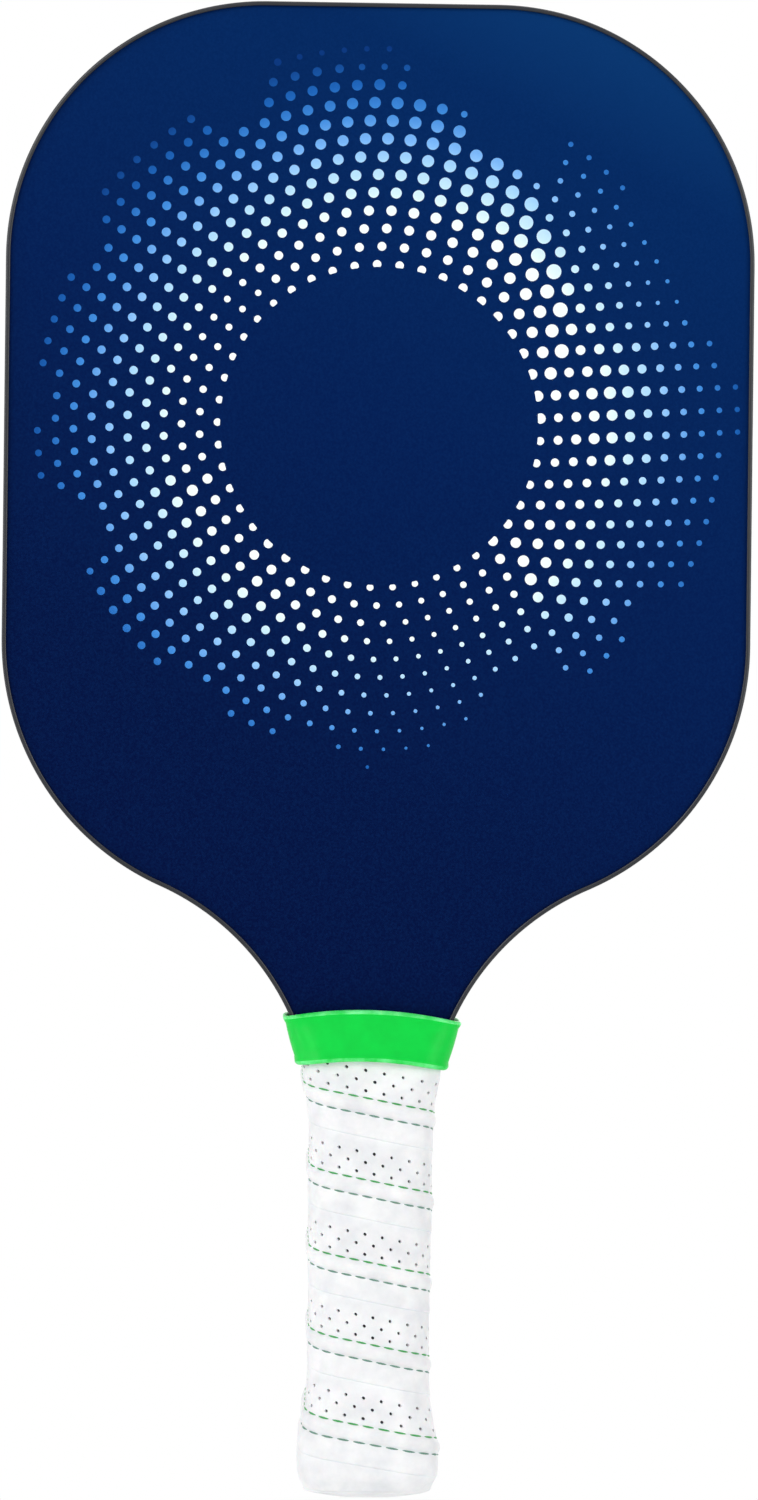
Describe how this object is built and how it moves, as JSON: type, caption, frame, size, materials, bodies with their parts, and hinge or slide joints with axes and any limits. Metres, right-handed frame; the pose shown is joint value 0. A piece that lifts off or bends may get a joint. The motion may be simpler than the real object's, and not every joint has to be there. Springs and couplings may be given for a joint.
{
  "type": "pickleball paddle",
  "caption": "Pickleball paddle: honeycomb panel with printed face skins, slim edge guard, foam-built handle with stitched perforated grip, butt cap and silicone throat collar.",
  "frame": {"origin": "centre of the butt cap's flat end", "axes": "+Z along the paddle from the butt to the head, -Y out of the printed front face, +X to the right of someone looking at the front"},
  "size_m": [0.2028, 0.0366, 0.4045],
  "materials": {
    "core": "translucent milky polypropylene",
    "face": "matte printed fibreglass skin, navy with a halftone ring of pale dots",
    "guard": "satin black",
    "foam": "moulded polyurethane foam",
    "cap": "satin white",
    "steel": "zinc-plated wire",
    "grip": "matte white polyurethane strip, perforated, stitched in green",
    "tape": "thin elastic tape",
    "silicone": "bright green silicone"
  },
  "bodies": {
    "root": {"honeycomb_core": "core", "front_face_skin": "face", "back_face_skin": "face", "edge_guard": "guard", "handle_pallet_front": "foam", "handle_pallet_back": "foam", "butt_cap": "cap", "butt_staple_front": "steel", "butt_staple_back": "steel", "grip_wrap": "grip", "finishing_tape": "tape", "throat_collar": "silicone"}
  },
  "joints": []
}
